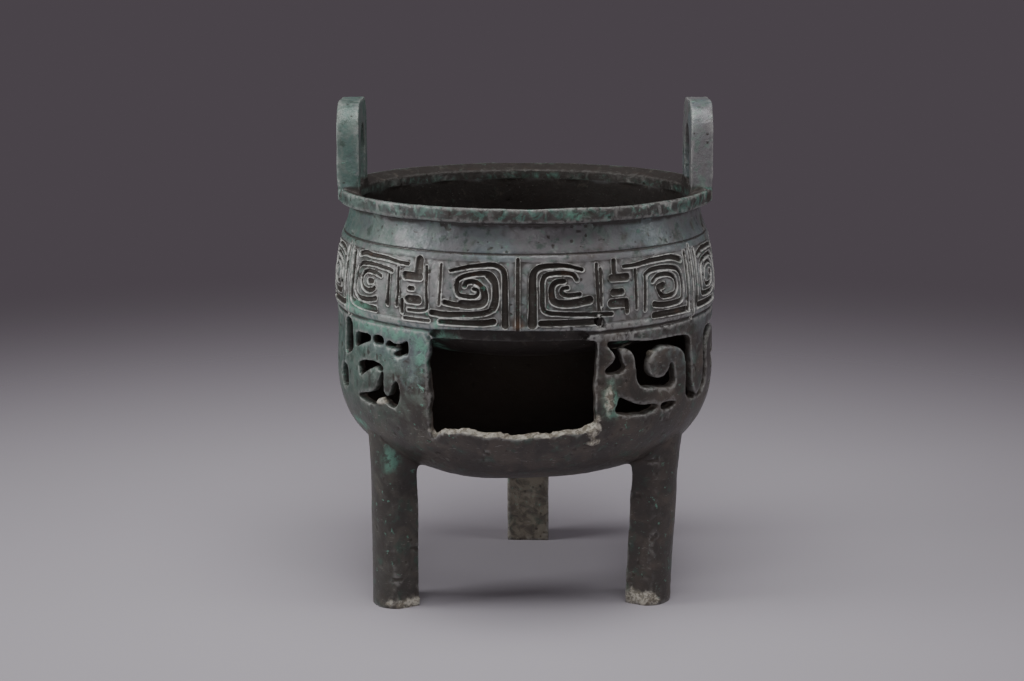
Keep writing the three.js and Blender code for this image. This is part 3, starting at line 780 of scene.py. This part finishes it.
write_points(skin, points)
normals = outward_normals(skin)
angle = np.degrees(np.arctan2(points[:, 0], -points[:, 1]))
height = points[:, 2]
ragged = 0.45 * rough(points, 2.6, 21) + 0.25 * rough(points, 1.3, 22)
knobbly = 0.7 + 0.6 * rough(points, 1.5, 23)
crust = np.zeros(len(points))
for *spot, lift in CRUST_LUMPS:
    lump = patch(*spot)
    crust = np.maximum(crust, lump)
    points += normals * (lump * lift * knobbly)[:, None]
on_sill = band(angle, *SILL_CRUST_SPAN) * ramp(spread, 82, 84)
on_sill *= band(height, *SILL_CRUST_LEVELS) * ramp(normals[:, 2], 0.1, 0.5)
crust = np.maximum(crust, SILL_CRUST_SHARE * on_sill)
points += normals * (SILL_ROUGHNESS * on_sill * rough(points, 1.6, 24))[:, None]
chip = patch(*CHIP)
points -= normals * (CHIP_DEPTH * chip)[:, None]
rust = patch(*RUST_SPOT)
verdigris = np.zeros(len(points))
for spot in GREEN_PATCHES:
    verdigris = np.maximum(verdigris, patch(*spot))

# sheltered from wear: the insides, which are also painted dark as shade, the top of the lip and the
# chip
under_lip = ramp(-height, -lip_bottom - 0.5, -lip_bottom + 0.5)
insides = ramp(wall_radius(height) - spread, 1.5, 2.6) * under_lip * ramp(height, 66, 70)
lip_top = ramp(-spread, 1.4 - RIM_RADIUS, 2.4 - RIM_RADIUS)
lip_top *= band(height, RIM_TOP - 6, RIM_TOP - 5, RIM_TOP, RIM_TOP + 1.5)
sheltered_and_shaded = np.maximum.reduce([insides, lip_top, chip])
swell = SKIN_SWELL * (0.7 * rough(points, 23, 11) + 0.3 * rough(points, 9, 12)) - SKIN_LOSS
grain = SKIN_GRAIN_DEPTH * (rough(points, 3.3, 13) + 0.6 * rough(points, 1.7, 14))
pits = PIT_DEPTH * ramp(rough(points, 2.1, 15) + 0.4 * rough(points, 9, 16), 0.62, 0.95)
points += normals * (swell + grain - pits)[:, None]
write_points(skin, points)

# ---------------------------------------------------------------------------- thinning
# The worked skin is thinned where it is flat, and kept dense where it is carved. The soles of
# the feet are worn flat, and stand on the floor.
MOST_TRIANGLES = 192000
SOLE_LEVEL = 0.01
WORN_SOLE = 0.8
BOX_MARGIN = 0.02
CURVATURE_ROUNDS = 6
FULL_CURVATURE = 0.12
METRES = 0.001
box_low, box_high = (np.array(corner) / METRES for corner in cad_box)


def keep_as(mesh, name, values):
    """Keeps a value for each point of the mesh, for the material to read."""
    layer = mesh.attributes.new(name, "FLOAT", "POINT")
    layer.data.foreach_set("value", values.astype(np.float32))


# the skin's convex and concave curvature, read later for rubbed edges with painted highlight and
# for painted shade in creases
smoothed = relaxed(points, edges, 0.5, CURVATURE_ROUNDS)
normals = outward_normals(skin)
curve = np.sum((points - smoothed) * normals, axis=1)
layers = {
    "wear_and_shade_curvature": np.clip(curve / FULL_CURVATURE, -1, 1), "sunk_line": sunk_line,
    "thread_line": thread_line, "crust": crust, "verdigris": verdigris, "rust": rust,
    "sheltered_and_shaded": sheltered_and_shaded,
}
for name, values in layers.items():
    keep_as(skin, name, values)
points[:, 2] = np.where(points[:, 2] < WORN_SOLE, SOLE_LEVEL, points[:, 2])
points = np.clip(points, box_low + (BOX_MARGIN, BOX_MARGIN, SOLE_LEVEL), box_high - BOX_MARGIN)
write_points(skin, points)
thin = casting.modifiers.new("thin", "DECIMATE")
thin.ratio = min(1.0, MOST_TRIANGLES / (2 * len(skin.polygons)))
baked(casting)
casting.data.transform(Matrix.Scale(METRES, 4))
casting.data.shade_smooth()

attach(casting, "root")
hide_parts("ding_vessel")

# ---------------------------------------------------------------------------- patinated bronze
# The metal has turned all over: a brown-black skin below, grey-green higher up and most of all
# at the left. Raised work is rubbed to a pale grey, partly a painted highlight, the sunk lines hold
# brown earth and rust, creases, the lip's face and the insides carry painted shade, and there are
# spots of bright malachite green and pale lime crust.
bronze = bpy.data.materials.new("patinated_bronze")
bronze.use_nodes = True
nodes = bronze.node_tree.nodes
links = bronze.node_tree.links
surface = nodes["Principled BSDF"]
place = nodes.new("ShaderNodeTexCoord").outputs["Object"]
NODE_STEP = 180


def node(kind, **settings):
    """A shader node. Settings named after a socket fill it, with a value or a link."""
    made = nodes.new(kind)
    made.location = (-NODE_STEP * (len(nodes) % 12), -NODE_STEP * (len(nodes) // 12))
    for name, value in settings.items():
        socket = name.replace("_", " ")
        if hasattr(made, name):
            setattr(made, name, value)
        elif isinstance(value, bpy.types.NodeSocket):
            links.new(value, made.inputs[socket])
        else:
            made.inputs[socket].default_value = value
    return made


def noise(size_mm, detail=2.0, roughness=0.5, distortion=0.0):
    """Noise over the casting with features of about one size, centred on a half."""
    return node("ShaderNodeTexNoise", Vector=place, Scale=1000 / size_mm, Detail=detail,
                Roughness=roughness, Distortion=distortion).outputs["Fac"]


def remapped(value, low, high, to_low=0.0, to_high=1.0):
    """A value turned softly from one range to another, with nothing past its ends."""
    return node("ShaderNodeMapRange", interpolation_type="SMOOTHSTEP", Value=value, From_Min=low,
                From_Max=high, To_Min=to_low, To_Max=to_high).outputs["Result"]


def combined(operation, first, second):
    """Two values put together by a sum of one kind, each a number or a link."""
    made = node("ShaderNodeMath", operation=operation, use_clamp=False)
    for socket, value in zip(made.inputs, (first, second)):
        if isinstance(value, bpy.types.NodeSocket):
            links.new(value, socket)
        else:
            socket.default_value = value
    return made.outputs["Value"]


def product(first, second):
    return combined("MULTIPLY", first, second)


def painted(under, over, mask):
    """One colour laid over another where a mask says."""
    made = node("ShaderNodeMix", data_type="RGBA")
    for socket, value in zip((made.inputs[0], made.inputs[6], made.inputs[7]),
                             (mask, under, over)):
        if isinstance(value, bpy.types.NodeSocket):
            links.new(value, socket)
        else:
            socket.default_value = value
    return made.outputs[2]


def layer(name):
    """One of the values kept for each point of the mesh."""
    return node("ShaderNodeAttribute", attribute_name=name).outputs["Fac"]


BROWN_BLACK = (0.050, 0.043, 0.038, 1)
WARM_BROWN = (0.095, 0.078, 0.065, 1)
GREY_GREEN = (0.150, 0.200, 0.175, 1)
PURPLE_GREY = (0.175, 0.168, 0.175, 1)
BLUE_GREY = (0.150, 0.180, 0.190, 1)
TEAL = (0.085, 0.165, 0.135, 1)
DARK_GREEN = (0.050, 0.080, 0.062, 1)
MALACHITE = (0.160, 0.340, 0.260, 1)
RUBBED_AND_HIGHLIGHT = (0.420, 0.420, 0.400, 1)
EARTH_AND_SHADE = (0.040, 0.031, 0.025, 1)
DARK_PATINA_AND_SHADE = (0.028, 0.022, 0.019, 1)
ASH_BROWN = (0.120, 0.092, 0.078, 1)
RUST = (0.115, 0.060, 0.034, 1)
PALE_GREY = (0.270, 0.262, 0.258, 1)
TAN = (0.230, 0.205, 0.160, 1)
THREAD_PALE = (0.600, 0.600, 0.560, 1)
LIME = (0.560, 0.530, 0.450, 1)
SCRATCH_SCALE = (260, 260, 2600)
METAL_SHOWING = 0.15
BUMP_STRENGTH = 0.55
BUMP_DEPTH = 0.0006

axes = node("ShaderNodeSeparateXYZ", Vector=place)
across, back, up = axes.outputs["X"], axes.outputs["Y"], axes.outputs["Z"]
wear_and_shade_curvature = layer("wear_and_shade_curvature")
sunk = layer("sunk_line")
thread = layer("thread_line")
crusted = layer("crust")
sheltered_and_shaded_skin = layer("sheltered_and_shaded")

broad = noise(38, 3, 0.55, 0.4)
blotch = noise(13, 4, 0.6, 0.6)
mottle = noise(6, 5, 0.65, 0.8)
fleck = noise(3.2, 4, 0.65, 0.3)
speck = noise(1.1, 2, 0.5)
broken = remapped(noise(2.4, 3, 0.6), 0.34, 0.56, 0.12, 1.0)


def shifted(value, noise_value, amount):
    """A measure with some noise added, to roughen the edge of what it masks."""
    centred = combined("SUBTRACT", noise_value, 0.5)
    return combined("ADD", value, product(centred, amount))


# the skin: brown-black below, grey and green above, teal at the left
skin_colour = painted(BROWN_BLACK, WARM_BROWN, remapped(blotch, 0.42, 0.68))
high_up = shifted(shifted(up, broad, 0.09), mottle, 0.06)
upper_skin = painted(PURPLE_GREY, BLUE_GREY, remapped(broad, 0.40, 0.6))
upper_skin = painted(upper_skin, GREY_GREEN, remapped(mottle, 0.48, 0.66, 0, 0.8))
upper_skin = painted(upper_skin, WARM_BROWN, remapped(blotch, 0.54, 0.72, 0, 0.75))
skin_colour = painted(skin_colour, upper_skin, remapped(high_up, 0.122, 0.150))
leftness = shifted(shifted(product(across, -1), blotch, 0.14), mottle, 0.07)
left_green = product(remapped(leftness, 0.035, 0.085), remapped(up, 0.085, 0.125, 0.1, 0.8))
left_skin = painted(TEAL, GREY_GREEN, remapped(mottle, 0.42, 0.60))
skin_colour = painted(skin_colour, left_skin, left_green)
skin_colour = painted(skin_colour, DARK_GREEN, remapped(noise(7, 4, 0.6), 0.55, 0.68, 0, 0.75))
skin_colour = painted(skin_colour, EARTH_AND_SHADE, remapped(noise(4.5, 4, 0.6, 0.5), 0.58, 0.76, 0, 0.3))

# paler raised work, the border rubbed pale with painted highlight, painted shade on the lip's
# face, and tan dirt on the back foot
frieze_face = product(remapped(up, 0.146, 0.149), remapped(up, 0.178, 0.175))
frieze_face = product(frieze_face, remapped(mottle, 0.60, 0.42, 0.15, 0.75))
skin_colour = painted(skin_colour, PALE_GREY, frieze_face)
# the frieze's lower border ridge, rubbed pale and partly a painted highlight
border_rub_and_highlight = product(remapped(up, 0.1444, 0.1450), remapped(up, 0.1477, 0.1469))
border_rub_and_highlight = product(border_rub_and_highlight, remapped(broken, 0.1, 1.0, 0.1, 0.55))
skin_colour = painted(skin_colour, RUBBED_AND_HIGHLIGHT, border_rub_and_highlight)
# painted shade on the lip's face, light at the left and deep from the middle rightwards
lip_painted_shade = product(remapped(up, 0.1922, 0.1932), remapped(up, 0.2022, 0.2012))
lip_painted_shade = product(lip_painted_shade, remapped(leftness, 0.10, 0.02, 0.25, 0.9))
lip_shade_colour = painted(BROWN_BLACK, TEAL, remapped(mottle, 0.46, 0.62))
skin_colour = painted(skin_colour, lip_shade_colour, lip_painted_shade)
foot_skin = product(remapped(back, 0.045, 0.050), remapped(up, 0.062, 0.052))
foot_skin = product(foot_skin, remapped(mottle, 0.38, 0.62, 0.15, 0.85))
skin_colour = painted(skin_colour, TAN, foot_skin)

# earth in the sunk lines, painted shade in the creases, and the insides painted dark as shade
earth_mask = product(sunk, remapped(noise(5, 3), 0.25, 0.6, 0.5, 0.92))
sunk_skin = painted(EARTH_AND_SHADE, WARM_BROWN, remapped(mottle, 0.45, 0.65))
skin_colour = painted(skin_colour, sunk_skin, earth_mask)
# painted shade: creases and hollows darkened by their concave curvature
hollow = product(remapped(wear_and_shade_curvature, -0.12, -0.7), 0.8)
skin_colour = painted(skin_colour, EARTH_AND_SHADE, hollow)
inside_patina_and_shade = painted(DARK_PATINA_AND_SHADE, WARM_BROWN, remapped(mottle, 0.56, 0.72, 0, 0.6))
level_place = node("ShaderNodeCombineXYZ", X=across, Y=back)
from_axis = node("ShaderNodeVectorMath", operation="LENGTH")
links.new(level_place.outputs[0], from_axis.inputs[0])
in_chamber = product(remapped(from_axis.outputs["Value"], 0.0895, 0.0875),
                     remapped(up, 0.132, 0.122))
inside_patina_and_shade = painted(inside_patina_and_shade, ASH_BROWN, in_chamber)
# painted shade: the insides, with the set-back strip over the window, darkened to near black over
# their dark patina
skin_colour = painted(skin_colour, inside_patina_and_shade, product(sheltered_and_shaded_skin, 0.97))
rust_mask = product(remapped(noise(8, 3), 0.60, 0.70), remapped(sunk, 0.2, 0.9, 0.05, 0.5))
rust_mask = combined("MAXIMUM", rust_mask, product(layer("rust"), 0.85))
skin_colour = painted(skin_colour, RUST, rust_mask)

# spots of malachite, rubbed edges with painted highlight, pale threads and pale crust
open_skin = combined("SUBTRACT", 1.0, product(sheltered_and_shaded_skin, 0.8))
malachite_mask = product(remapped(fleck, 0.62, 0.70), remapped(broad, 0.45, 0.62, 0.1, 0.8))
malachite_mask = product(malachite_mask, open_skin)
verdigris_mask = product(layer("verdigris"), remapped(fleck, 0.38, 0.56, 0.1, 0.85))
malachite_mask = combined("MAXIMUM", malachite_mask, verdigris_mask)
skin_colour = painted(skin_colour, MALACHITE, malachite_mask)
# rubbed edges, partly real wear and partly a painted highlight on convex edges, stronger higher up
rub_and_highlight = product(remapped(wear_and_shade_curvature, 0.22, 0.85), broken)
rub_and_highlight = product(rub_and_highlight, remapped(up, 0.125, 0.150, 0.35, 0.8))
rub_and_highlight = product(rub_and_highlight, remapped(up, 0.188, 0.192, 1.0, 0.5))
skin_colour = painted(skin_colour, RUBBED_AND_HIGHLIGHT, product(rub_and_highlight, open_skin))
# painted highlight, with some wear, along the raised threads beside the sunk lines
skin_colour = painted(skin_colour, THREAD_PALE, product(remapped(thread, 0.35, 0.9), broken))
flat_place = node("ShaderNodeMapping", Vector=place, Scale=SCRATCH_SCALE).outputs["Vector"]
scratch = node("ShaderNodeTexNoise", Scale=1.0, Detail=2.0, Vector=flat_place).outputs["Fac"]
scratch_mask = product(remapped(scratch, 0.66, 0.74), remapped(blotch, 0.45, 0.6, 0.05, 0.45))
skin_colour = painted(skin_colour, RUBBED_AND_HIGHLIGHT, product(scratch_mask, open_skin))
skin_colour = painted(skin_colour, RUBBED_AND_HIGHLIGHT, product(remapped(speck, 0.70, 0.76), 0.3))
crust_skin = painted(TAN, LIME, remapped(fleck, 0.40, 0.56))
crust_mask = product(crusted, remapped(speck, 0.30, 0.50, 0.35, 1.0))
skin_colour = painted(skin_colour, crust_skin, crust_mask)
links.new(skin_colour, surface.inputs["Base Color"])

gloss = remapped(blotch, 0.35, 0.7, 0.36, 0.56)
gloss = combined("ADD", gloss, product(sunk, 0.25))
gloss = combined("ADD", gloss, product(malachite_mask, 0.3))
gloss = combined("ADD", gloss, product(crusted, 0.4))
gloss = combined("ADD", gloss, product(sheltered_and_shaded_skin, 0.25))
links.new(gloss, surface.inputs["Roughness"])
surface.inputs["Metallic"].default_value = METAL_SHOWING

bump_height = combined("ADD", product(fleck, 0.6), product(speck, 0.25))
bump_height = combined("ADD", bump_height, product(malachite_mask, 0.25))
bump = node("ShaderNodeBump", Strength=BUMP_STRENGTH, Distance=BUMP_DEPTH, Height=bump_height)
links.new(bump.outputs["Normal"], surface.inputs["Normal"])
casting.data.materials.clear()
casting.data.materials.append(bronze)

# ---------------------------------------------------------------------------- floor
# Plain pale paper, turned see-through away from the middle so that it darkens into the room's
# colour, a painted falloff of light. From here on node() and the helpers on it fill the paper's
# material.
FLOOR_RADIUS = 9
PAPER_COLOUR = (0.47, 0.445, 0.485, 1)
PAPER_ROUGHNESS = 0.85
PAPER_SPECULAR = 0.2
FADE_FROM = 0.08
FADE_TO = 0.95
ROOM_COLOUR = (0.075, 0.063, 0.074, 1)
floor_bm = bmesh.new()
bmesh.ops.create_circle(floor_bm, cap_ends=True, segments=96, radius=FLOOR_RADIUS)
floor = solid(floor_bm, "floor")
paper = bpy.data.materials.new("paper")
paper.use_nodes = True
nodes = paper.node_tree.nodes
links = paper.node_tree.links
sheet = nodes["Principled BSDF"]
sheet.inputs["Base Color"].default_value = PAPER_COLOUR
sheet.inputs["Roughness"].default_value = PAPER_ROUGHNESS
sheet.inputs["Specular IOR Level"].default_value = PAPER_SPECULAR
from_middle = node("ShaderNodeVectorMath", operation="LENGTH")
links.new(nodes.new("ShaderNodeTexCoord").outputs["Object"], from_middle.inputs[0])
# painted falloff: the paper goes see-through, showing the room's dark colour, further from the
# middle
painted_falloff = node("ShaderNodeMixShader")
links.new(remapped(from_middle.outputs["Value"], FADE_FROM, FADE_TO), painted_falloff.inputs[0])
links.new(sheet.outputs[0], painted_falloff.inputs[1])
links.new(node("ShaderNodeBsdfTransparent").outputs[0], painted_falloff.inputs[2])
links.new(painted_falloff.outputs[0], nodes["Material Output"].inputs["Surface"])
floor.data.materials.append(paper)

world = bpy.data.worlds.new("studio")
bpy.context.scene.world = world
world.use_nodes = True
world.node_tree.nodes["Background"].inputs["Color"].default_value = ROOM_COLOUR

# ---------------------------------------------------------------------------- light
# One wide soft box overhead and a little forward, one at each side, the left one the stronger,
# and a faint one behind the camera that reaches into the fire chamber.
LIT_POINT = (0, 0, 0.1)
LAMPS = [
    {"name": "overhead", "at": (0.0, -0.32, 1.15), "size": 0.8, "watts": 9.8},
    {"name": "left_side", "at": (-1.1, -0.2, 0.5), "size": 0.5, "watts": 7.0},
    {"name": "right_side", "at": (1.1, -0.2, 0.5), "size": 0.5, "watts": 2.6},
    {"name": "front", "at": (0.0, -1.3, 0.4), "size": 0.4, "watts": 1.5},
]
for lamp in LAMPS:
    light = bpy.data.lights.new(lamp["name"], "AREA")
    light.energy = lamp["watts"]
    light.size = lamp["size"]
    holder = bpy.data.objects.new(lamp["name"], light)
    holder.location = lamp["at"]
    aim = Vector(LIT_POINT) - holder.location
    holder.rotation_euler = aim.to_track_quat("-Z", "Y").to_euler()
    bpy.context.scene.collection.objects.link(holder)

# ---------------------------------------------------------------------------- camera
CAMERA_AT = (0, -0.9617, 0.3213)
LOOKING_DOWN = 11.7
LENS = 69.8
SENSOR_WIDTH = 36
SHIFT_ACROSS = -0.0126

camera = bpy.data.cameras.new("camera")
camera.sensor_width = SENSOR_WIDTH
camera.lens = LENS
camera.shift_x = SHIFT_ACROSS
camera_ob = bpy.data.objects.new("camera", camera)
camera_ob.location = CAMERA_AT
camera_ob.rotation_euler = (math.radians(90 - LOOKING_DOWN), 0, 0)
bpy.context.scene.collection.objects.link(camera_ob)
bpy.context.scene.camera = camera_ob
